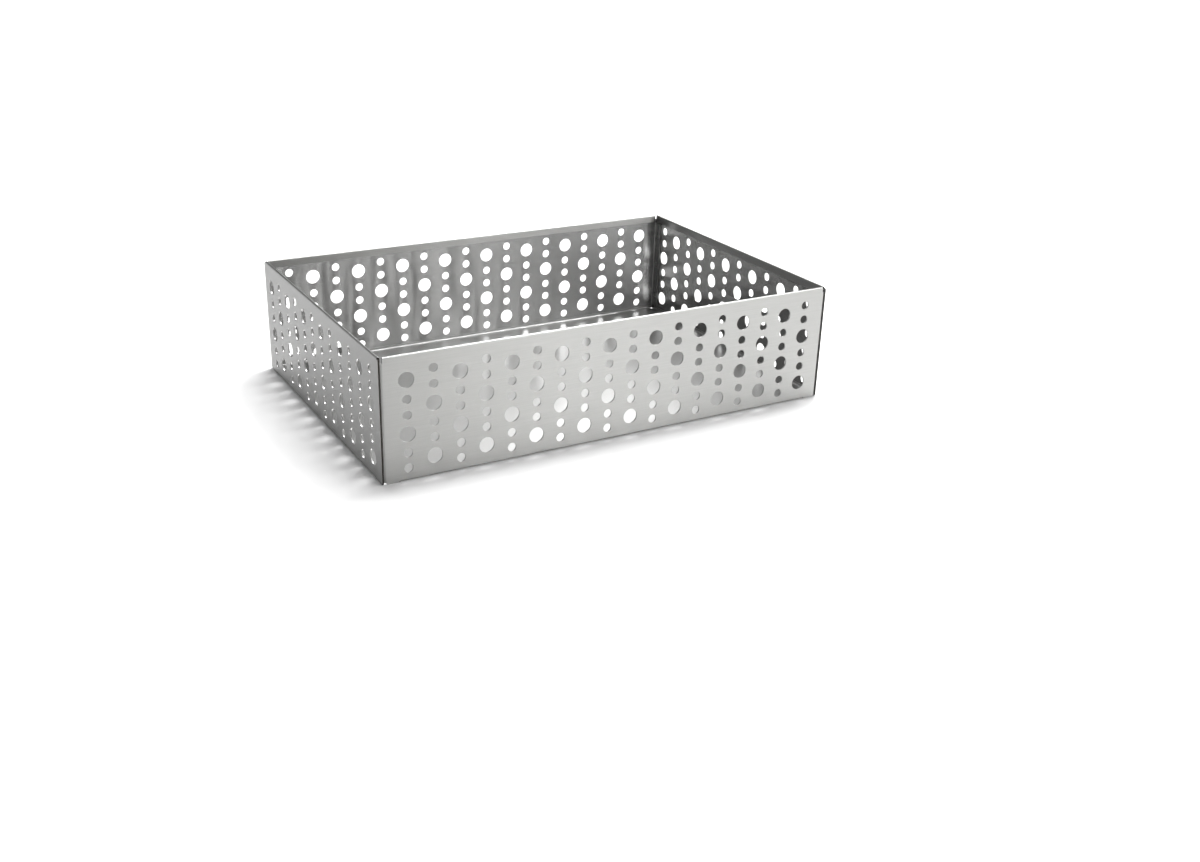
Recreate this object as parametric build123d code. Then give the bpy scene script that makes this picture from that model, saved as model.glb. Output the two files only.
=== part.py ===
from build123d import *
import os

# Perforated stainless steel draining tray: four hemmed, perforated walls, a plain floor pan and
# the spot welds that join them. Millimetres. +X runs along the long side, +Z is up, and the
# origin is the middle of the underside. The front is -Y.

# --- driving dimensions -------------------------------------------------------------------
LENGTH = 300.0
WIDTH = 200.0
HEIGHT = 74.0
SHEET = 0.8

# perforation: columns of two small holes and one large hole in turn, with the same web of metal
# between neighbours, and every other column starting with the large hole
SMALL_HOLE = 5.2
LARGE_HOLE = 9.2
WEB = 4.0
TOP_MARGIN = 10.0
LONG_COLUMNS = 18
SHORT_COLUMNS = 12

# hem: the top edge is folded inwards and down, almost closed
HEM_DEPTH = 5.0
HEM_GAP = 0.2

# bottom bend and flange of each wall, and the flat ears left beside it at the corners
BEND_RADIUS = 1.2
FLANGE = 10.0
BEND_START = 11.0
RELIEF_WIDTH = 0.6
EAR_RADIUS = 1.0

# corner tabs of the long walls, which lie inside the short walls. The bend round the corner is
# nearly as high as the wall, and the tab beyond it is cut back above and below
CORNER_RADIUS = 1.6
CORNER_BOTTOM = EAR_RADIUS
CORNER_TOP = 71.0
TAB_REACH = 7.6
TAB_BOTTOM = 4.0
TAB_TOP = 68.0

# hem ends are cut back so that the folded edges don't meet at the corners
LONG_HEM_SETBACK = 2.6
SHORT_HEM_SETBACK = 1.8
UPPER_RADIUS = 1.0

# floor pan
LIP_HEIGHT = 3.2
LIP_RADIUS = 1.2
CORNER_HOLE = 2.6

# spot welds: one nugget reaches halfway through each of the two sheets
NUGGET = 4.0
NUGGET_DEPTH = 0.8
CORNER_WELD_HEIGHTS = (13.0, 36.0, 59.0)
CORNER_WELD_INSET = 4.6
FLOOR_WELD_INSET = 6.0
LONG_FLOOR_WELDS = 6
SHORT_FLOOR_WELDS = 4

# --- derived sizes ------------------------------------------------------------------------
SMALL_STEP = SMALL_HOLE + WEB
MIXED_STEP = (SMALL_HOLE + LARGE_HOLE) / 2 + WEB
COLUMN_PITCH = (SMALL_STEP + 2 * MIXED_STEP) / 2
HEM_RADIUS = SHEET + HEM_GAP / 2
LONG_FLAT = LENGTH / 2 - SHEET - CORNER_RADIUS
LIP_OUTER_RADIUS = LIP_RADIUS + SHEET


def block(x, y, z):
    """A box given by its lowest and highest value along each axis."""
    box = Box(x[1] - x[0], y[1] - y[0], z[1] - z[0], align=Align.MIN)
    return Pos(x[0], y[0], z[0]) * box


def hole_rows(large_first):
    """Depths below the rim and diameters of one column's holes."""
    if large_first:
        depth = TOP_MARGIN + SMALL_STEP / 2
        sizes = [LARGE_HOLE, SMALL_HOLE, SMALL_HOLE] * 2
    else:
        depth = TOP_MARGIN
        sizes = [SMALL_HOLE, SMALL_HOLE, LARGE_HOLE] * 2
    rows = []
    for size, following in zip(sizes, sizes[1:] + [0.0]):
        rows.append((depth, size))
        depth += (size + following) / 2 + WEB
    return rows


def perforation(columns):
    """All the holes of one wall, as circles in its own plane."""
    holes = Sketch()
    for column in range(columns):
        across = (column - (columns - 1) / 2) * COLUMN_PITCH
        for depth, size in hole_rows(large_first=column % 2 == 0):
            holes += Pos(across, HEIGHT - depth) * Circle(size / 2)
    return holes


def web_outline(half_flat, half_span, upper_radius):
    """The flat face of a wall: two bottom ears beside the bend, rounded outer corners."""
    top = HEIGHT - HEM_RADIUS
    outline = Pos(0, top / 2) * Rectangle(2 * half_flat, top)
    bottom = outline.vertices().group_by(Axis.Y)[0]
    outline = fillet(bottom, EAR_RADIUS)
    upper = outline.vertices().group_by(Axis.Y)[-1]
    outline = fillet(upper, upper_radius)
    half_bend = half_span - BEND_START
    outline -= Pos(0, BEND_RADIUS / 2) * Rectangle(2 * half_bend, BEND_RADIUS)
    for side in (-1, 1):
        relief_middle = side * (half_bend + RELIEF_WIDTH / 2)
        outline -= Pos(relief_middle, BEND_RADIUS / 2) * Rectangle(RELIEF_WIDTH, BEND_RADIUS)
        outline -= Pos(relief_middle, BEND_RADIUS) * Circle(RELIEF_WIDTH / 2)
    return outline


def quarter_bend(radius, thickness=SHEET):
    """Section of a 90 degree bend in the lower left quarter, centred on its axis."""
    ring = Circle(radius) - Circle(radius - thickness)
    return ring & (Pos(-radius / 2, -radius / 2) * Rectangle(radius, radius))


def along_wall(section, half_length):
    """Stretches a section drawn in Y and Z along X, the same way both sides of the middle."""
    face = Plane(origin=(-half_length, 0, 0), x_dir=(0, 1, 0), z_dir=(1, 0, 0)) * section
    return extrude(face, amount=2 * half_length, dir=(1, 0, 0))


def wall(columns, half_flat, half_span, hem_setback):
    """One wall with its outer face on Y = 0, the tray's inside towards +Y, centred on X."""
    half_hem = half_span - hem_setback
    web = web_outline(half_flat, half_span, min(UPPER_RADIUS, half_flat - half_hem))
    web -= perforation(columns)
    panel = extrude(Plane.XZ * web, amount=-SHEET)

    half_bend = half_span - BEND_START
    bend = Pos(BEND_RADIUS, BEND_RADIUS) * quarter_bend(BEND_RADIUS)
    flange_width = FLANGE - BEND_RADIUS
    flange = Pos(BEND_RADIUS + flange_width / 2, SHEET / 2) * Rectangle(flange_width, SHEET)
    panel += along_wall(bend + flange, half_bend)

    fold_height = HEIGHT - HEM_RADIUS
    fold = Circle(HEM_RADIUS) - Circle(HEM_GAP / 2)
    fold &= Pos(0, HEM_RADIUS / 2) * Rectangle(2 * HEM_RADIUS, HEM_RADIUS)
    fold = Pos(HEM_RADIUS, fold_height) * fold
    leaf_height = HEM_DEPTH - HEM_RADIUS
    leaf = Pos(1.5 * SHEET + HEM_GAP, fold_height - leaf_height / 2) * Rectangle(SHEET, leaf_height)
    panel += along_wall(fold + leaf, half_hem)
    return panel


def nugget(center, direction):
    """One spot weld nugget, a short round slug through the joint face."""
    return Plane(origin=center, z_dir=direction) * Cylinder(NUGGET / 2, NUGGET_DEPTH)


def corner_welds(side_x, side_y):
    """Nuggets between a corner tab and the short wall outside it."""
    x = side_x * (LENGTH / 2 - SHEET)
    y = side_y * (WIDTH / 2 - CORNER_WELD_INSET)
    return [nugget((x, y, z), (1, 0, 0)) for z in CORNER_WELD_HEIGHTS]


def spread(count, half_run):
    """Places of a row of welds, evenly spaced over a run."""
    step = 2 * half_run / count
    return [(index - (count - 1) / 2) * step for index in range(count)]


def long_floor_welds(side_y):
    """Nuggets between a long wall's flange and the floor pan."""
    y = side_y * (WIDTH / 2 - FLOOR_WELD_INSET)
    places = spread(LONG_FLOOR_WELDS, LENGTH / 2 - BEND_START)
    return [nugget((x, y, SHEET), (0, 0, 1)) for x in places]


def short_floor_welds(side_x):
    """Nuggets between a short wall's flange and the floor pan."""
    x = side_x * (LENGTH / 2 - FLOOR_WELD_INSET)
    places = spread(SHORT_FLOOR_WELDS, WIDTH / 2 - BEND_START)
    return [nugget((x, y, SHEET), (0, 0, 1)) for y in places]


def corner_tab(side_x):
    """Bend and tab at one end of the front wall, in the tray's own frame."""
    bend = Pos(CORNER_RADIUS, CORNER_RADIUS) * quarter_bend(CORNER_RADIUS)
    reach = TAB_REACH - CORNER_RADIUS
    flat = Pos(SHEET / 2, CORNER_RADIUS + reach / 2) * Rectangle(SHEET, reach)
    tab = Pos(0, 0, CORNER_BOTTOM) * extrude(bend, amount=CORNER_TOP - CORNER_BOTTOM)
    tab += Pos(0, 0, TAB_BOTTOM) * extrude(flat, amount=TAB_TOP - TAB_BOTTOM)
    tab = Pos(-LENGTH / 2 + SHEET, -WIDTH / 2, 0) * tab
    if side_x > 0:
        tab = mirror(tab, about=Plane.YZ)
    return tab


def front_wall():
    panel = wall(LONG_COLUMNS, LONG_FLAT, LENGTH / 2, LONG_HEM_SETBACK)
    panel = Pos(0, -WIDTH / 2, 0) * panel
    for side_x in (-1, 1):
        panel += corner_tab(side_x)
        for slug in corner_welds(side_x, -1):
            panel -= slug
    for slug in long_floor_welds(-1):
        panel -= slug
    return panel


def left_wall():
    panel = wall(SHORT_COLUMNS, WIDTH / 2, WIDTH / 2, SHORT_HEM_SETBACK)
    panel = Pos(-LENGTH / 2, 0, 0) * Rot(0, 0, -90) * panel
    for slug in corner_welds(-1, -1) + corner_welds(-1, 1) + short_floor_welds(-1):
        panel -= slug
    return panel


def lip(half_run, offset):
    """One coved lip along X whose outer face is on Y = -offset."""
    bend = Pos(LIP_OUTER_RADIUS, LIP_OUTER_RADIUS) * quarter_bend(LIP_OUTER_RADIUS)
    rise = LIP_HEIGHT - SHEET - LIP_OUTER_RADIUS
    section = bend + Pos(SHEET / 2, LIP_OUTER_RADIUS + rise / 2) * Rectangle(SHEET, rise)
    return Pos(0, -offset, SHEET) * along_wall(section, half_run)


def floor_pan():
    half_length = LENGTH / 2 - SHEET
    half_width = WIDTH / 2 - SHEET
    long_run = half_length - LIP_OUTER_RADIUS
    short_run = half_width - LIP_OUTER_RADIUS
    pan = block((-long_run, long_run), (-short_run, short_run), (SHEET, 2 * SHEET))
    for turn in (0, 180):
        pan += Rot(0, 0, turn) * lip(long_run, half_width)
        pan += Rot(0, 0, turn + 90) * lip(short_run, half_length)
    for side_x in (-1, 1):
        for side_y in (-1, 1):
            center = Pos(side_x * long_run, side_y * short_run, SHEET)
            pan -= center * Cylinder(CORNER_HOLE / 2, 4 * LIP_HEIGHT)
        for slug in short_floor_welds(side_x) + long_floor_welds(side_x):
            pan -= slug
    return pan


front = front_wall()
left = left_wall()
half_turn = Rot(0, 0, 180)

pieces = {
    "front_wall": front,
    "back_wall": half_turn * front,
    "left_wall": left,
    "right_wall": half_turn * left,
    "floor_pan": floor_pan(),
    "floor_welds_front": Compound(long_floor_welds(-1)),
    "floor_welds_back": Compound(long_floor_welds(1)),
    "floor_welds_left": Compound(short_floor_welds(-1)),
    "floor_welds_right": Compound(short_floor_welds(1)),
}
for end, side_y in (("front", -1), ("back", 1)):
    for hand, side_x in (("left", -1), ("right", 1)):
        pieces[f"corner_welds_{end}_{hand}"] = Compound(corner_welds(side_x, side_y))

os.makedirs("parts", exist_ok=True)
for name, shape in pieces.items():
    export_step(shape, f"parts/{name}.step")
    print(f"{name}: {len(shape.solids())} solids, {shape.volume:.1f} mm3")
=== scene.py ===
# %% [markdown]
# # A perforated draining tray, folded from stainless steel sheet
# The tray is built as five pieces of thin sheet: four punched walls and a plain floor pan, spot
# welded together. Each wall is cut flat, punched, and then folded: the top edge is turned right
# over into a hem, the bottom edge is turned in to carry the floor, and the long walls also turn
# the corners with a narrow tab. This lesson makes the walls the same way: a flat strip, folds,
# thickness, a light deburring, and last the holes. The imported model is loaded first, because
# every size and place has to agree with it.

# %% Load the model that the looks are built on
import math
import bmesh
import bpy
from mathutils import Matrix, Vector


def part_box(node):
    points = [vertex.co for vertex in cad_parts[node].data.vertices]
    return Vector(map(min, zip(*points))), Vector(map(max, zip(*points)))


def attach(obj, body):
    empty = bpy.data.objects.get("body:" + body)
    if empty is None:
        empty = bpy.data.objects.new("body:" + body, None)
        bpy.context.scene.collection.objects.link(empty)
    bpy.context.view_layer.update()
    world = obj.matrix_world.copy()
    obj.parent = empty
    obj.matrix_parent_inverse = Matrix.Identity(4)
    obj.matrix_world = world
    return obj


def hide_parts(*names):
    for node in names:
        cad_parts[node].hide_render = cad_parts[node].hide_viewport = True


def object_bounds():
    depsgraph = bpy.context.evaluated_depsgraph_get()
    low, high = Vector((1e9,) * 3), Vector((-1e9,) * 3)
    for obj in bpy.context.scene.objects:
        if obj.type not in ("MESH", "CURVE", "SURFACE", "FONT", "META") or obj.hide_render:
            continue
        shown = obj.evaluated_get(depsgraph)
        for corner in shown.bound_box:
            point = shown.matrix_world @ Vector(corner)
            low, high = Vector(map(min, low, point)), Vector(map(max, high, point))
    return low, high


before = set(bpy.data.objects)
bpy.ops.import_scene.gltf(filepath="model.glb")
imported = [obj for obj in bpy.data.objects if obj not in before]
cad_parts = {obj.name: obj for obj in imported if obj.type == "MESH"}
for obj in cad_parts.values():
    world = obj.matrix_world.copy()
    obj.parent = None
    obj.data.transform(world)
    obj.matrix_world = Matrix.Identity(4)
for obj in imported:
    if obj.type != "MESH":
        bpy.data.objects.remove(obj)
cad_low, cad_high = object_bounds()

MM = 0.001
HALF_LENGTH = cad_high.x
HALF_WIDTH = cad_high.y
HEIGHT = cad_high.z
print("tray", [round(2 * HALF_LENGTH / MM), round(2 * HALF_WIDTH / MM), round(HEIGHT / MM)], "mm")

# %% [markdown]
# ## The camera
# A camera is a place and a direction. It stands in front of the tray's left corner, well above
# the rim, and looks down at the middle, tilted by a degree or two. The lens is a short portrait
# lens, so the long sides run together a little towards the back.

# %% Camera
CAMERA_PLACE = Vector((-376.57, -711.84, 317.0)) * MM
CAMERA_AZIMUTH = math.radians(30.729)
CAMERA_DROP = math.radians(23.588)
CAMERA_ROLL = math.radians(1.832)
LENS = 39.215

bpy.ops.object.camera_add(location=CAMERA_PLACE)
camera = bpy.context.object
camera.name = "studio_camera"
camera.data.lens = LENS
camera.data.sensor_width = 36
camera.data.clip_start = 0.01
turn = Matrix.Rotation(-CAMERA_AZIMUTH, 4, "Z")
tip = Matrix.Rotation(math.pi / 2 - CAMERA_DROP, 4, "X")
roll = Matrix.Rotation(CAMERA_ROLL, 4, "Z")
camera.rotation_euler = (turn @ tip @ roll).to_euler()
bpy.context.scene.camera = camera
print("camera is", round(CAMERA_PLACE.length, 3), "m from the tray")

# %% [markdown]
# ## Colour and nodes
# A colour is written as a hex value, as a paint maker gives it. The shaders work in linear
# light, so one function turns it over. Another adds a node, sets it and wires it up, so a
# material below reads as a short list of what it is made of.

# %% Colour and node helpers
def linear(hex_colour):
    """A linear RGBA colour from an sRGB hex value such as #c8c8c5."""
    channels = [int(hex_colour[i:i + 2], 16) / 255 for i in (1, 3, 5)]
    bent = [c / 12.92 if c <= 0.04045 else ((c + 0.055) / 1.055) ** 2.4 for c in channels]
    return (*bent, 1.0)


def add_node(tree, kind, settings=None, links=None):
    """Adds a node. Settings are its properties or socket values, links are from other nodes."""
    node = tree.nodes.new(kind)
    for name, value in (settings or {}).items():
        if isinstance(name, int) or name in node.inputs:
            node.inputs[name].default_value = value
        else:
            setattr(node, name, value)
    for name, source in (links or {}).items():
        tree.links.new(source, node.inputs[name])
    return node


def new_material(name):
    """An empty node material with its output node."""
    material = bpy.data.materials.new(name)
    material.use_nodes = True
    tree = material.node_tree
    tree.nodes.clear()
    output = tree.nodes.new("ShaderNodeOutputMaterial")
    return material, tree, output


print("mid grey is", round(linear("#808080")[0], 3), "in linear light")

# %% [markdown]
# ## Brushed stainless steel
# The sheet is taken as grade 304, the usual one for food, brushed on both sides. Brushing drags
# grit along the sheet, so it leaves fine parallel lines: the surface scatters light across the
# lines and hardly at all along them. The shader's anisotropy does the same, with its tangent
# laid across the lines. The tangent is the cross product of the surface normal and the brushing
# direction, so it follows the sheet round every fold. Noise stretched along the lines gives each
# line a slightly different tone, roughness and height. Real lines are about 0.05 mm apart, too
# fine to show here, so they are drawn a few times coarser.
#
# The inside is given a finer brush. It shows the rest of the tray as soft streaks, which stand
# upright on the long walls, where the lines run along the wall, and lie flat on the short
# walls, where the lines run upwards. Thin sheet is never quite flat, and slow waves square to
# the lines make the streaks uneven.
#
# All five finishes are the same steel. Their tones differ a little to make up for light that
# this simple room doesn't give each side.

# %% Stainless sheet
BRUSH_PITCH = 0.35 * MM
BRUSH_LENGTH = 24 * MM
WAVE_ALONG = 12 * MM
WAVE_ACROSS = 70 * MM
SPREAD = 0.02
ANISOTROPY = 1.0
# Level lines run about three degrees off the tray's axes. That keeps the cross product above
# zero on faces that are square to the axis.
SKEW = 0.05
GRAIN = {"X": (1.0, SKEW, 0.0), "Y": (SKEW, 1.0, 0.0), "Z": (0.0, 0.0, 1.0)}


def stainless(name, grain, pale, dark, roughness, score, wave):
    """Stainless sheet whose lines run along one axis of the tray."""
    material, tree, output = new_material(name)
    place = add_node(tree, "ShaderNodeTexCoord")
    stretch = [1 / BRUSH_PITCH] * 3
    stretch["XYZ".index(grain)] = 1 / BRUSH_LENGTH
    lines_at = add_node(tree, "ShaderNodeMapping", {"Scale": stretch},
                        {"Vector": place.outputs["Object"]})
    lines = add_node(tree, "ShaderNodeTexNoise", {"Scale": 1.0, "Detail": 3.0, "Roughness": 0.6},
                     {"Vector": lines_at.outputs[0]})
    slow = [1 / WAVE_ACROSS] * 3
    slow["XYZ".index(grain)] = 1 / WAVE_ALONG
    waves_at = add_node(tree, "ShaderNodeMapping", {"Scale": slow},
                        {"Vector": place.outputs["Object"]})
    swell = add_node(tree, "ShaderNodeTexNoise", {"Scale": 1.0, "Detail": 1.5},
                     {"Vector": waves_at.outputs[0]})
    tone = add_node(tree, "ShaderNodeMix", {"data_type": "RGBA", 6: linear(dark), 7: linear(pale)},
                    {0: lines.outputs["Fac"]})
    rough = add_node(tree, "ShaderNodeMapRange",
                     {"To Min": roughness - SPREAD, "To Max": roughness + SPREAD},
                     {"Value": lines.outputs["Fac"]})
    wavy = add_node(tree, "ShaderNodeBump", {"Strength": 1.0, "Distance": wave},
                    {"Height": swell.outputs["Fac"]})
    scored = add_node(tree, "ShaderNodeBump", {"Strength": 1.0, "Distance": score},
                      {"Height": lines.outputs["Fac"], "Normal": wavy.outputs["Normal"]})
    surface = add_node(tree, "ShaderNodeNewGeometry")
    across = add_node(tree, "ShaderNodeVectorMath",
                      {"operation": "CROSS_PRODUCT", 1: GRAIN[grain]},
                      {0: surface.outputs["Normal"]})
    unit = add_node(tree, "ShaderNodeVectorMath", {"operation": "NORMALIZE"},
                    {0: across.outputs["Vector"]})
    steel = add_node(tree, "ShaderNodeBsdfPrincipled", {"Metallic": 1.0, "Anisotropic": ANISOTROPY},
                     {"Base Color": tone.outputs[2], "Roughness": rough.outputs["Result"],
                      "Normal": scored.outputs["Normal"], "Tangent": unit.outputs["Vector"]})
    tree.links.new(steel.outputs["BSDF"], output.inputs["Surface"])
    return material


# The outside of the long walls, brushed along the tray.
outside_long = stainless("brushed_stainless_outside_long", "X", "#b9b9b7", "#a7a7a5",
                         roughness=0.38, score=0.06 * MM, wave=0.02 * MM)
# The outside of the short walls, brushed along the wall and set a little darker as painted shade.
outside_short = stainless("brushed_stainless_outside_short", "Y", "#a2a2a1", "#939392",
                          roughness=0.38, score=0.06 * MM, wave=0.05 * MM)
# The inside of the long walls, finely brushed along the wall and set paler as painted light.
inside_long = stainless("brushed_stainless_inside_long", "X", "#c4c4c3", "#b2b2b1",
                        roughness=0.23, score=0.1 * MM, wave=1.2 * MM)
# The inside of the short walls, finely brushed from bottom to top and set darker as painted shade.
inside_short = stainless("brushed_stainless_inside_short", "Z", "#a9a9a8", "#9a9a99",
                         roughness=0.23, score=0.1 * MM, wave=1.2 * MM)
# The floor pan, brushed along the tray and set paler than the walls as painted light.
floor_steel = stainless("brushed_stainless_floor", "X", "#ececeb", "#d8d8d7",
                        roughness=0.5, score=0.06 * MM, wave=0.1 * MM)
print("brush lines every", BRUSH_PITCH / MM, "mm")

# %% [markdown]
# ## Cut and welded steel
# A punch shears the sheet and leaves a bright burnished band inside each hole. The short walls
# end in the corners, where their bare edge is a thin black line down the tray. The cut outline
# of the short walls is painted near black, as painted shade for that dark corner groove. A spot
# weld is cast metal: matt, a little grey, and straw tinted where the current heated it.

# %% Cut edges and welds
def bare_steel(name, pale, dark, roughness, grain):
    """Stainless without a brushed finish, with a fine even grain."""
    material, tree, output = new_material(name)
    place = add_node(tree, "ShaderNodeTexCoord")
    noise = add_node(tree, "ShaderNodeTexNoise", {"Scale": 1 / grain, "Detail": 2.0},
                     {"Vector": place.outputs["Object"]})
    tone = add_node(tree, "ShaderNodeMix", {"data_type": "RGBA", 6: linear(dark), 7: linear(pale)},
                    {0: noise.outputs["Fac"]})
    rough = add_node(tree, "ShaderNodeMapRange",
                     {"To Min": roughness - 0.05, "To Max": roughness + 0.05},
                     {"Value": noise.outputs["Fac"]})
    bump = add_node(tree, "ShaderNodeBump", {"Strength": 0.3, "Distance": 0.01 * MM},
                    {"Height": noise.outputs["Fac"]})
    steel = add_node(tree, "ShaderNodeBsdfPrincipled", {"Metallic": 1.0},
                     {"Base Color": tone.outputs[2], "Roughness": rough.outputs["Result"],
                      "Normal": bump.outputs["Normal"]})
    tree.links.new(steel.outputs["BSDF"], output.inputs["Surface"])
    return material


# The burnished wall of a punched or drilled hole.
sheared_edge = bare_steel("sheared_stainless_edge", "#c4c4c3", "#9a9a99", 0.3, 0.2 * MM)
# The short walls' cut outline, painted near black as painted shade for the corner groove.
corner_painted_shade_edge = bare_steel("cut_edge_painted_shade", "#45423f", "#2b2927", 0.5, 0.2 * MM)
# The cast nugget of a spot weld.
weld_metal = bare_steel("spot_weld_stainless", "#a8a297", "#8b857b", 0.45, 0.25 * MM)
print("edge and weld finishes:", sheared_edge.name, corner_painted_shade_edge.name, weld_metal.name)

# %% [markdown]
# ## Folding tools
# Three small tools do the sheet work. One cuts the flat strip along a line, where a fold will
# start or an edge is trimmed. One picks edges or faces by where they are. One folds: it spins
# the picked edges about the bend's axis, which is how a press brake moves the metal.

# %% Sheet work helpers
SHEET = 0.8 * MM
TOUCH = 0.01 * MM
FOLD_STEP = math.radians(11.25)
SUPPORT = 0.3 * MM


def near(value, target):
    return abs(value - target) < TOUCH


def start_editing(piece, mode):
    """Makes one piece active in edit mode, with nothing picked."""
    if bpy.context.mode != "OBJECT":
        bpy.ops.object.mode_set(mode="OBJECT")
    bpy.ops.object.select_all(action="DESELECT")
    bpy.context.view_layer.objects.active = piece
    piece.select_set(True)
    bpy.ops.object.mode_set(mode="EDIT")
    bpy.ops.mesh.select_mode(type=mode)
    bpy.ops.mesh.select_all(action="DESELECT")


def stop_editing():
    bpy.ops.object.mode_set(mode="OBJECT")


def pick(piece, kind, test):
    """Selects the verts, edges or faces whose corners all pass the test. Returns how many."""
    bpy.ops.mesh.select_mode(type={"verts": "VERT", "edges": "EDGE", "faces": "FACE"}[kind])
    bpy.ops.mesh.select_all(action="DESELECT")
    mesh = bmesh.from_edit_mesh(piece.data)
    count = 0
    for part in getattr(mesh, kind):
        corners = [part.co] if kind == "verts" else [v.co for v in part.verts]
        if all(test(co) for co in corners):
            part.select_set(True)
            count += 1
    bmesh.update_edit_mesh(piece.data)
    return count


def cut_across(axis, values):
    """Cuts the whole strip square to an axis at each value."""
    normal = [1.0 if axis == name else 0.0 for name in "XYZ"]
    for value in values:
        bpy.ops.mesh.select_all(action="SELECT")
        place = [value * part for part in normal]
        bpy.ops.mesh.bisect(plane_co=place, plane_no=normal)


def fold(center, axis, angle):
    """Folds the picked edges about a line through center, right-handed about its axis."""
    steps = round(abs(angle) / FOLD_STEP)
    bpy.ops.mesh.spin(steps=steps, dupli=False, angle=-angle, center=center, axis=axis)


def pull(x=0.0, y=0.0, z=0.0):
    """Extrudes the picked edges or faces straight along."""
    bpy.ops.mesh.extrude_region_move(TRANSFORM_OT_translate={"value": (x, y, z)})


def finish_with(piece, name, kind, **settings):
    """Adds a modifier and applies it."""
    bpy.ops.object.select_all(action="DESELECT")
    bpy.context.view_layer.objects.active = piece
    piece.select_set(True)
    modifier = piece.modifiers.new(name, kind)
    for setting, value in settings.items():
        setattr(modifier, setting, value)
    bpy.ops.object.modifier_apply(modifier=modifier.name)


def triangles(piece):
    return sum(len(face.vertices) - 2 for face in piece.data.polygons)


print("a right angle is folded in", round(math.pi / 2 / FOLD_STEP), "steps")

# %% [markdown]
# ## The flat strip and its folds
# The outer face of a wall is drawn first, with no thickness. The strip has rounded bottom
# corners. It is cut wherever a fold starts, and again a hair beside each fold, so that the
# flat part stays exactly flat when the shading is smoothed. Then the edges are folded: the
# hem half a turn inwards, the bottom a quarter turn, and on a long wall the two corner tabs.

# %% Fold one wall
HEM_RADIUS = SHEET + 0.1 * MM
HEM_DEPTH = 5.0 * MM
BEND_RADIUS = 1.2 * MM
FLANGE = 10.0 * MM
BEND_START = 11.0 * MM
RELIEF_WIDTH = 0.6 * MM
EAR_RADIUS = 1.0 * MM
UPPER_RADIUS = 1.0 * MM
CORNER_RADIUS = 1.6 * MM
CORNER_BOTTOM = EAR_RADIUS
CORNER_TOP = 71.0 * MM
TAB_REACH = 7.6 * MM
TAB_BOTTOM = 4.0 * MM
TAB_TOP = 68.0 * MM
FOLD_LINE = HEIGHT - HEM_RADIUS


def flat_strip(name, half_flat, outer_y):
    """The outer face of a wall, standing on its bottom edge and facing the front."""
    bpy.ops.object.select_all(action="DESELECT")
    bpy.ops.mesh.primitive_plane_add(size=1, location=(0, outer_y, FOLD_LINE / 2),
                                     rotation=(math.pi / 2, 0, 0))
    strip = bpy.context.object
    strip.name = name
    strip.data.name = name
    strip.scale = (2 * half_flat, FOLD_LINE, 1)
    bpy.ops.object.transform_apply(location=True, rotation=True, scale=True)
    return strip


def round_corners(piece, height, radius):
    """Rounds the two corners of the strip that are at one height."""
    pick(piece, "verts", lambda co: near(co.z, height))
    bpy.ops.mesh.bevel(offset=radius, segments=6, affect="VERTICES", offset_type="OFFSET")


def fold_wall(name, half_flat, half_span, half_hem, outer_y, tabs):
    """One folded wall of no thickness, as its outer face. It faces the front."""
    wall = flat_strip(name, half_flat, outer_y)
    start_editing(wall, "VERT")
    round_corners(wall, 0.0, EAR_RADIUS)
    if not tabs:
        round_corners(wall, FOLD_LINE, UPPER_RADIUS)
    half_bend = half_span - BEND_START
    relief_end = half_bend + RELIEF_WIDTH
    columns = [half_hem, relief_end, half_bend]
    cut_across("X", [side * x for x in columns for side in (-1, 1)])
    heights = [BEND_RADIUS, BEND_RADIUS + SUPPORT, TAB_BOTTOM, TAB_TOP, FOLD_LINE - SUPPORT]
    if tabs:
        heights += [CORNER_BOTTOM, CORNER_TOP]
    cut_across("Z", heights)

    pick(wall, "faces", lambda co: abs(co.x) < relief_end + TOUCH and co.z < BEND_RADIUS + TOUCH)
    bpy.ops.mesh.delete(type="FACE")

    inwards = outer_y + HEM_RADIUS
    pick(wall, "edges", lambda co: near(co.z, FOLD_LINE) and abs(co.x) < half_hem + TOUCH)
    fold((0, inwards, FOLD_LINE), (1, 0, 0), -math.pi)
    pull(z=-SUPPORT)
    pull(z=SUPPORT - (HEM_DEPTH - HEM_RADIUS))

    pick(wall, "edges", lambda co: near(co.z, BEND_RADIUS) and abs(co.x) < half_bend + TOUCH)
    fold((0, outer_y + BEND_RADIUS, BEND_RADIUS), (1, 0, 0), math.pi / 2)
    pull(y=SUPPORT)
    pull(y=FLANGE - BEND_RADIUS - SUPPORT)

    if tabs:
        for side in (-1, 1):
            pick(wall, "edges", lambda co: near(co.x, side * half_flat)
                 and CORNER_BOTTOM - TOUCH < co.z < CORNER_TOP + TOUCH)
            fold((side * half_flat, outer_y + CORNER_RADIUS, 0), (0, 0, 1), side * math.pi / 2)
            pick(wall, "edges", lambda co: near(co.x, side * (half_flat + CORNER_RADIUS))
                 and TAB_BOTTOM - TOUCH < co.z < TAB_TOP + TOUCH)
            pull(y=SUPPORT)
            pull(y=TAB_REACH - CORNER_RADIUS - SUPPORT)
    stop_editing()
    return wall


# The hems stop short of the corners, so that the folded edges don't meet.
LONG_HEM_SETBACK = 2.6 * MM
SHORT_HEM_SETBACK = 1.8 * MM
front_wall = fold_wall("front_wall_sheet", HALF_LENGTH - SHEET - CORNER_RADIUS, HALF_LENGTH,
                       HALF_LENGTH - LONG_HEM_SETBACK, -HALF_WIDTH, tabs=True)
left_wall = fold_wall("left_wall_sheet", HALF_WIDTH, HALF_WIDTH,
                      HALF_WIDTH - SHORT_HEM_SETBACK, -HALF_LENGTH, tabs=False)
print("folded", front_wall.name, "and", left_wall.name)

# %% [markdown]
# ## Thickness
# Every face so far is the outside of the sheet. Giving it thickness inwards makes the inside
# face and the cut edge around the rim, each with its own material. The rim is then deburred,
# as the real one is, so that it doesn't cut a hand.

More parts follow.
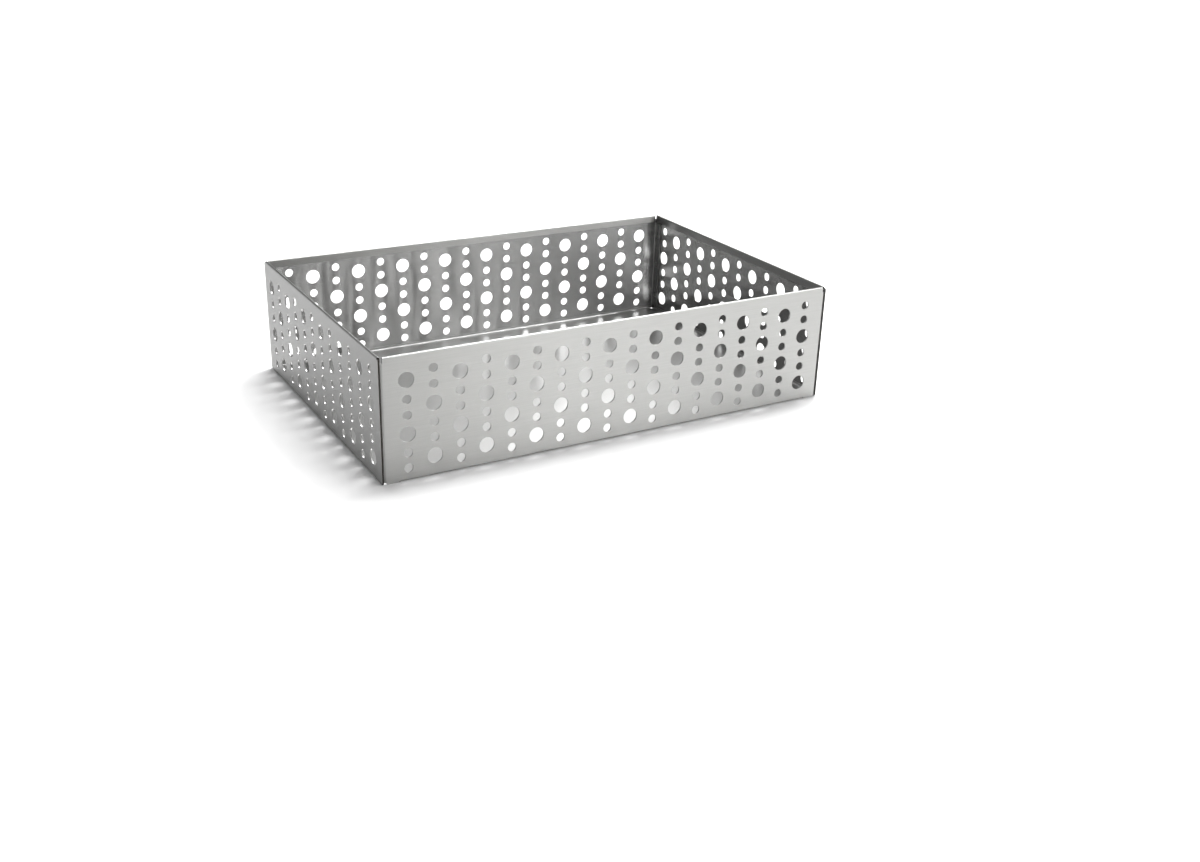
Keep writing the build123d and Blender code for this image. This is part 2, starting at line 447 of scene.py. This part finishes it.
# %% Give the sheet its thickness
DEBURR = 0.08 * MM
DEBURR_ANGLE = math.radians(60)
TINY = 0.0005 * MM


def thicken(piece, outer_y, outside, inside, edge):
    """Turns a folded outer face into sheet metal with a deburred rim.

    Where two rims meet in an inner corner the deburring stands proud by a hair. Those points
    are pressed back onto the outer face.
    """
    for material in (outside, inside, edge):
        piece.data.materials.append(material)
    finish_with(piece, "sheet", "SOLIDIFY", thickness=SHEET, offset=-1, use_even_offset=True,
                material_offset=1, material_offset_rim=2)
    finish_with(piece, "deburr", "BEVEL", width=DEBURR, segments=2, limit_method="ANGLE",
                angle_limit=DEBURR_ANGLE, use_clamp_overlap=False)
    start_editing(piece, "VERT")
    if pick(piece, "verts", lambda co: co.y < outer_y - TINY):
        bpy.ops.transform.resize(value=(1, 0, 1), center_override=(0, outer_y, 0))
    stop_editing()


thicken(front_wall, -HALF_WIDTH, outside_long, inside_long, sheared_edge)
# The short walls' rims get the near-black edge, painted shade for the corner groove.
thicken(left_wall, -HALF_LENGTH, outside_short, inside_short, corner_painted_shade_edge)
print("front wall sheet has", triangles(front_wall), "triangles before punching")

# %% [markdown]
# ## Punching
# The pattern is columns of two small holes and one large one in turn, and every other column
# starts with the large one, with 4 mm of metal between neighbours. A punch is a short round
# bar. Its tool drags the sheet's skin in a little where it enters and leaves a fine edge where
# it breaks out, so the cutter here is flared more on the outside than on the inside. All the
# punches of a wall are joined and cut in one stroke.

# %% Punch the holes
SMALL_HOLE = 5.2 * MM
LARGE_HOLE = 9.2 * MM
WEB = 4.0 * MM
TOP_MARGIN = 10.0 * MM
COLUMN_PITCH = (SMALL_HOLE + WEB) / 2 + (SMALL_HOLE + LARGE_HOLE) / 2 + WEB
ROLLOVER = 0.12 * MM
BREAKOUT = 0.05 * MM
CLEAR = 0.3 * MM
LARGE_SIDES = 48
SMALL_SIDES = 32
SMOOTH_ANGLE = math.radians(18)


def punch(radius, x, z, outer_y):
    """A round cutter through the web, flared where it enters and where it breaks out."""
    sides = LARGE_SIDES if radius > SMALL_HOLE / 2 else SMALL_SIDES
    bpy.ops.mesh.primitive_circle_add(vertices=sides,
                                      radius=radius + ROLLOVER + CLEAR, fill_type="NGON",
                                      location=(x, outer_y - CLEAR, z),
                                      rotation=(math.pi / 2, 0, 0))
    cutter = bpy.context.object
    bpy.ops.object.transform_apply(location=True, rotation=True, scale=True)
    profile = [(outer_y + ROLLOVER, radius), (outer_y + SHEET - BREAKOUT, radius),
               (outer_y + SHEET + CLEAR, radius + BREAKOUT + CLEAR)]
    bpy.ops.object.mode_set(mode="EDIT")
    bpy.ops.mesh.select_all(action="SELECT")
    last_y, last_radius = outer_y - CLEAR, radius + ROLLOVER + CLEAR
    for y, ring in profile:
        pull(y=y - last_y)
        size = ring / last_radius
        bpy.ops.transform.resize(value=(size, 1, size), center_override=(x, y, z))
        last_y, last_radius = y, ring
    bpy.ops.mesh.select_all(action="SELECT")
    bpy.ops.mesh.normals_make_consistent(inside=False)
    bpy.ops.object.mode_set(mode="OBJECT")
    return cutter


def column_of_holes(large_first):
    """Radius and height of each hole in one column."""
    sizes = [LARGE_HOLE, SMALL_HOLE, SMALL_HOLE]
    if not large_first:
        sizes.reverse()
    depth = TOP_MARGIN + ((SMALL_HOLE + WEB) / 2 if large_first else 0)
    holes = []
    for size, following in zip(sizes * 2, sizes[1:] + sizes + [0]):
        holes.append((size / 2, HEIGHT - depth))
        depth += (size + following) / 2 + WEB
    return holes


def join(pieces):
    bpy.ops.object.select_all(action="DESELECT")
    for piece in pieces:
        piece.select_set(True)
    bpy.context.view_layer.objects.active = pieces[0]
    bpy.ops.object.join()
    return bpy.context.object


def duplicate(piece, x=0.0, y=0.0, z=0.0):
    """A moved copy with its own mesh and its place in the mesh."""
    bpy.ops.object.select_all(action="DESELECT")
    bpy.context.view_layer.objects.active = piece
    piece.select_set(True)
    bpy.ops.object.duplicate(linked=False)
    bpy.ops.transform.translate(value=(x, y, z))
    bpy.ops.object.transform_apply(location=True, rotation=True, scale=True)
    return bpy.context.object


def punches(columns, outer_y):
    """The whole set of punches for one wall, joined."""
    tools = {}
    for large_first in (True, False):
        tools[large_first] = join([punch(radius, 0, z, outer_y)
                                   for radius, z in column_of_holes(large_first)])
    copies = []
    for column in range(columns):
        across = (column - (columns - 1) / 2) * COLUMN_PITCH
        copies.append(duplicate(tools[column % 2 == 0], x=across))
    bpy.data.objects.remove(tools[True])
    bpy.data.objects.remove(tools[False])
    tool = join(copies)
    tool.data.materials.append(sheared_edge)
    return tool


def cut_with(piece, cutter):
    """Cuts the cutter out of the piece and clears it away."""
    finish_with(piece, "cut", "BOOLEAN", operation="DIFFERENCE", solver="EXACT", object=cutter,
                material_mode="TRANSFER")
    bpy.data.objects.remove(cutter)


def smooth(piece):
    """Smooths the bends and keeps the flat faces flat."""
    bpy.ops.object.select_all(action="DESELECT")
    bpy.context.view_layer.objects.active = piece
    piece.select_set(True)
    bpy.ops.object.shade_smooth_by_angle(angle=SMOOTH_ANGLE)
    finish_with(piece, "flat_faces", "WEIGHTED_NORMAL", keep_sharp=True)


LONG_COLUMNS = 18
SHORT_COLUMNS = 12
cut_with(front_wall, punches(LONG_COLUMNS, -HALF_WIDTH))
cut_with(left_wall, punches(SHORT_COLUMNS, -HALF_LENGTH))
print("punched", 6 * LONG_COLUMNS, "and", 6 * SHORT_COLUMNS, "holes;",
      triangles(front_wall), "and", triangles(left_wall), "triangles")

# %% [markdown]
# ## Spot weld dimples
# The electrodes of a spot welder press two shallow round dimples where they grip the joint.
# The outside is taken as ground flush, and the inside of the tab and the underside of the flange
# keep theirs. Each dimple is the tip of a flat dome pressed a tenth of a millimetre into the sheet.

# %% Dimples
TAB_INSIDE = HALF_LENGTH - 2 * SHEET
DIMPLE_RADIUS = 2.2 * MM
DIMPLE_DEPTH = 0.1 * MM
DOME_RADIUS = (DIMPLE_RADIUS ** 2 + DIMPLE_DEPTH ** 2) / (2 * DIMPLE_DEPTH)
CORNER_WELD_HEIGHTS = [13 * MM, 36 * MM, 59 * MM]
CORNER_WELD_INSET = 4.6 * MM
FLOOR_WELD_INSET = 6.0 * MM
LONG_FLOOR_WELDS = 6
SHORT_FLOOR_WELDS = 4
# Heights of the dome's rim and rings above its tip, in dimple depths.
DOME_TOP = 4
DOME_RINGS = (2.5, 1.2, 0.4, 0.05)
DOME_SIDES = 32


def spread(count, half_run):
    """Even places along a run, with half a step left free at each end."""
    step = 2 * half_run / count
    return [(index - (count - 1) / 2) * step for index in range(count)]


def dimple(place, facing):
    """The dome of an electrode, tip in the sheet at place. It comes from the facing side."""
    height = DOME_TOP * DIMPLE_DEPTH
    radius = math.sqrt(DOME_RADIUS ** 2 - (DOME_RADIUS - height) ** 2)
    tip_turn = Vector(facing).to_track_quat("Z", "Y").to_euler()
    bpy.ops.mesh.primitive_circle_add(vertices=DOME_SIDES, radius=radius, fill_type="NGON")
    cutter = bpy.context.object
    bpy.ops.object.mode_set(mode="EDIT")
    bpy.ops.mesh.select_all(action="SELECT")
    last_radius, last_depth = radius, 0.0
    for level in DOME_RINGS:
        depth = height - level * DIMPLE_DEPTH
        ring = math.sqrt(DOME_RADIUS ** 2 - (DOME_RADIUS - level * DIMPLE_DEPTH) ** 2)
        pull(z=last_depth - depth)
        size = ring / last_radius
        bpy.ops.transform.resize(value=(size, size, 1), center_override=(0, 0, -depth))
        last_radius, last_depth = ring, depth
    bpy.ops.mesh.select_all(action="SELECT")
    bpy.ops.mesh.normals_make_consistent(inside=False)
    bpy.ops.object.mode_set(mode="OBJECT")
    cutter.rotation_euler = tip_turn
    cutter.location = Vector(place) + Vector(facing) * (height - DIMPLE_DEPTH)
    bpy.ops.object.transform_apply(location=True, rotation=True, scale=True)
    return cutter


corner_y = -HALF_WIDTH + CORNER_WELD_INSET
corner_places = [(side, z) for side in (-1, 1) for z in CORNER_WELD_HEIGHTS]
long_dimples = [dimple((side * TAB_INSIDE, corner_y, z), (-side, 0, 0))
                for side, z in corner_places]
flange_y = -HALF_WIDTH + FLOOR_WELD_INSET
long_dimples += [dimple((x, flange_y, 0), (0, 0, -1))
                 for x in spread(LONG_FLOOR_WELDS, HALF_LENGTH - BEND_START)]
flange_x = -HALF_LENGTH + FLOOR_WELD_INSET
short_dimples = [dimple((x, flange_x, 0), (0, 0, -1))
                 for x in spread(SHORT_FLOOR_WELDS, HALF_WIDTH - BEND_START)]
for wall, dimples in ((front_wall, long_dimples), (left_wall, short_dimples)):
    tool = join(dimples)
    tool.data.materials.append(sheared_edge)
    cut_with(wall, tool)
    smooth(wall)
print("pressed", len(long_dimples), "and", len(short_dimples), "dimples")

# %% [markdown]
# ## Four walls
# The left wall was made facing the front, so it's turned a quarter to face left. The back and
# the right wall are the same parts as the front and the left, turned half way round.

# %% Place the walls
def turned(piece, quarter_turns, name):
    """Turns a piece about the middle of the tray and fixes it there."""
    bpy.ops.object.select_all(action="DESELECT")
    bpy.context.view_layer.objects.active = piece
    piece.select_set(True)
    piece.name = name
    piece.data.name = name
    piece.rotation_euler = (0, 0, quarter_turns * math.pi / 2)
    bpy.ops.object.transform_apply(location=True, rotation=True, scale=True)
    return piece


back_wall = turned(duplicate(front_wall), 2, "back_wall_sheet")
left_wall = turned(left_wall, -1, "left_wall_sheet")
right_wall = turned(duplicate(left_wall), 2, "right_wall_sheet")
for sheet_piece, node in ((front_wall, "front_wall"), (back_wall, "back_wall"),
                          (left_wall, "left_wall"), (right_wall, "right_wall")):
    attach(sheet_piece, "root")
    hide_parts(node)
    low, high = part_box(node)
    corners = [v.co for v in sheet_piece.data.vertices]
    outside = max(max(max(c[i] for c in corners) - high[i], low[i] - min(c[i] for c in corners))
                  for i in range(3))
    print(sheet_piece.name, "is outside its box by", round(outside / MM, 4), "mm")

# %% [markdown]
# ## The floor pan
# The floor is a plain sheet with a low lip folded up all round, and its bend is soft, so that
# the corner can be wiped clean. A round relief hole is drilled in each corner before folding,
# so that the two lips don't tear each other. Light comes up through it.

# %% Floor pan
LIP_HEIGHT = 3.2 * MM
LIP_OUTER_RADIUS = 2.0 * MM
CORNER_HOLE = 2.6 * MM
flat_x = HALF_LENGTH - SHEET - LIP_OUTER_RADIUS
flat_y = HALF_WIDTH - SHEET - LIP_OUTER_RADIUS
bend_top = SHEET + LIP_OUTER_RADIUS

bpy.ops.object.select_all(action="DESELECT")
bpy.ops.mesh.primitive_plane_add(size=1, location=(0, 0, SHEET), rotation=(math.pi, 0, 0))
floor_pan = bpy.context.object
floor_pan.name = "floor_pan_sheet"
floor_pan.data.name = floor_pan.name
floor_pan.scale = (2 * flat_x, 2 * flat_y, 1)
bpy.ops.object.transform_apply(location=True, rotation=True, scale=True)
start_editing(floor_pan, "EDGE")
cut_across("X", [side * (flat_x - SUPPORT) for side in (-1, 1)])
cut_across("Y", [side * (flat_y - SUPPORT) for side in (-1, 1)])
for side in (-1, 1):
    pick(floor_pan, "edges", lambda co: near(co.x, side * flat_x) and near(co.z, SHEET))
    fold((side * flat_x, 0, bend_top), (0, 1, 0), -side * math.pi / 2)
    pull(z=LIP_HEIGHT - bend_top)
    pick(floor_pan, "edges", lambda co: near(co.y, side * flat_y) and near(co.z, SHEET))
    fold((0, side * flat_y, bend_top), (1, 0, 0), side * math.pi / 2)
    pull(z=LIP_HEIGHT - bend_top)
stop_editing()
thicken(floor_pan, -HALF_WIDTH, floor_steel, floor_steel, sheared_edge)
drills = []
for x in (-flat_x, flat_x):
    for y in (-flat_y, flat_y):
        bpy.ops.mesh.primitive_cylinder_add(vertices=LARGE_SIDES, radius=CORNER_HOLE / 2,
                                            depth=4 * LIP_HEIGHT, location=(x, y, SHEET))
        bpy.ops.object.transform_apply(location=True, rotation=True, scale=True)
        drills.append(bpy.context.object)
drill = join(drills)
drill.data.materials.append(sheared_edge)
cut_with(floor_pan, drill)
smooth(floor_pan)
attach(floor_pan, "root")
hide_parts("floor_pan")
corners = [v.co for v in floor_pan.data.vertices]
print("floor pan from z", round(min(c.z for c in corners) / MM, 3), "to",
      round(max(c.z for c in corners) / MM, 3), "mm,", triangles(floor_pan), "triangles")

# %% [markdown]
# ## The welds
# A spot weld's nugget is inside the joint, half in each sheet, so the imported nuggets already
# have the right shape and only need the look of cast steel.

# %% Welds
weld_count = 0
for name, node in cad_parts.items():
    if "_welds_" in name:
        for index in range(len(node.material_slots)):
            node.material_slots[index].material = weld_metal
        weld_count += 1
print(weld_count, "rows of welds in", weld_metal.name)

# %% [markdown]
# ## Studio
# The tray stands on a large sheet of white paper. Away from the tray the paper glows, as
# painted light, so that it stays white to the edges and takes only the tray's own soft shadow.

# %% Floor of the studio
FLOOR_SIZE = 12.0
FLOOR_DROP = 0.05 * MM
LIT_FROM = 0.35
LIT_TO = 1.4
LIT_LEVEL = 0.4
bpy.ops.object.select_all(action="DESELECT")
bpy.ops.mesh.primitive_plane_add(size=FLOOR_SIZE, location=(0, 0, -FLOOR_DROP))
studio_floor = bpy.context.object
studio_floor.name = "studio_floor"
# White paper, with a painted glow that grows further out from the tray.
paper, tree, output = new_material("white_paper")
place = add_node(tree, "ShaderNodeTexCoord")
away = add_node(tree, "ShaderNodeVectorMath", {"operation": "LENGTH"}, {0: place.outputs["Object"]})
painted_glow = add_node(tree, "ShaderNodeMapRange",
                       {"interpolation_type": "SMOOTHSTEP",
                        "From Min": LIT_FROM, "From Max": LIT_TO,
                        "To Min": 0.0, "To Max": LIT_LEVEL}, {"Value": away.outputs["Value"]})
matt = add_node(tree, "ShaderNodeBsdfPrincipled",
                {"Base Color": linear("#f2f2f2"), "Roughness": 0.9,
                 "Emission Color": linear("#ffffff")},
                {"Emission Strength": painted_glow.outputs["Result"]})
tree.links.new(matt.outputs["BSDF"], output.inputs["Surface"])
studio_floor.data.materials.append(paper)
print("paper", FLOOR_SIZE, "m")

# %% [markdown]
# ## Light
# Metal only shows what's around it, so the light is the look. Brushed metal blurs what it
# reflects across its lines and keeps it sharp along them, so only the sideways place of a lamp
# matters to the long walls. The room is bright on the right and dim on the left and towards the
# viewer, and a tall strip light stands where the bright half begins. It draws the glowing band
# down the middle of the back wall and the floor. A softbox overhead gives the soft shadow.

# %% Light
ROOM_BRIGHT = 1.7
ROOM_DIM = 0.34
STRIP_LEVEL = 7.0
STRIP_AT = 0.44
STRIP_HALF = 0.03
BRIGHT_FROM, BRIGHT_TO = 0.32, 0.45
VIEWER_SHADE = 0.7
SHADE_FROM, SHADE_TO = 0.3, 0.9
VIEWER_SIDE = Vector((-0.5, -0.8, 0.3)).normalized()

world = bpy.data.worlds.new("studio_room")
bpy.context.scene.world = world
world.use_nodes = True
tree = world.node_tree
tree.nodes.clear()
toward = add_node(tree, "ShaderNodeTexCoord")
axes = add_node(tree, "ShaderNodeSeparateXYZ", None, {"Vector": toward.outputs["Generated"]})
window = add_node(tree, "ShaderNodeMapRange",
                  {"interpolation_type": "SMOOTHSTEP",
                   "From Min": BRIGHT_FROM, "From Max": BRIGHT_TO,
                   "To Min": ROOM_DIM, "To Max": ROOM_BRIGHT}, {"Value": axes.outputs["X"]})
facing = add_node(tree, "ShaderNodeVectorMath", {"operation": "DOT_PRODUCT", 1: VIEWER_SIDE},
                  {0: toward.outputs["Generated"]})
shade = add_node(tree, "ShaderNodeMapRange",
                 {"interpolation_type": "SMOOTHSTEP",
                  "From Min": SHADE_FROM, "From Max": SHADE_TO,
                  "To Min": 1.0, "To Max": 1.0 - VIEWER_SHADE}, {"Value": facing.outputs["Value"]})
shaded = add_node(tree, "ShaderNodeMath", {"operation": "MULTIPLY"},
                  {0: window.outputs["Result"], 1: shade.outputs["Result"]})
beside = add_node(tree, "ShaderNodeMath", {"operation": "SUBTRACT", 1: STRIP_AT},
                  {0: axes.outputs["X"]})
offset = add_node(tree, "ShaderNodeMath", {"operation": "ABSOLUTE"}, {0: beside.outputs["Value"]})
strip = add_node(tree, "ShaderNodeMapRange",
                 {"interpolation_type": "SMOOTHSTEP", "From Min": 0.0, "From Max": STRIP_HALF,
                  "To Min": STRIP_LEVEL, "To Max": 0.0}, {"Value": offset.outputs["Value"]})
level = add_node(tree, "ShaderNodeMath", {"operation": "ADD"},
                 {0: shaded.outputs["Value"], 1: strip.outputs["Result"]})
glow = add_node(tree, "ShaderNodeBackground", {"Color": linear("#ffffff")},
                {"Strength": level.outputs["Value"]})
add_node(tree, "ShaderNodeOutputWorld", None, {"Surface": glow.outputs["Background"]})


def softbox(name, place, target, width, height, power):
    """A rectangular soft light that looks at a target."""
    bpy.ops.object.light_add(type="AREA", location=place)
    lamp = bpy.context.object
    lamp.name = name
    lamp.data.shape = "RECTANGLE"
    lamp.data.size = width
    lamp.data.size_y = height
    lamp.data.energy = power
    lamp.rotation_euler = (Vector(target) - Vector(place)).to_track_quat("-Z", "Y").to_euler()
    return lamp


SOFTBOX_PLACE = (0.45, 0.3, 1.2)
SOFTBOX_TARGET = (0.45, 0.3, 0)
softbox("softbox_over_right", SOFTBOX_PLACE, SOFTBOX_TARGET, width=1.3, height=0.6, power=30)
bpy.context.scene.view_settings.view_transform = "Standard"
print("room from", ROOM_DIM, "to", ROOM_BRIGHT)
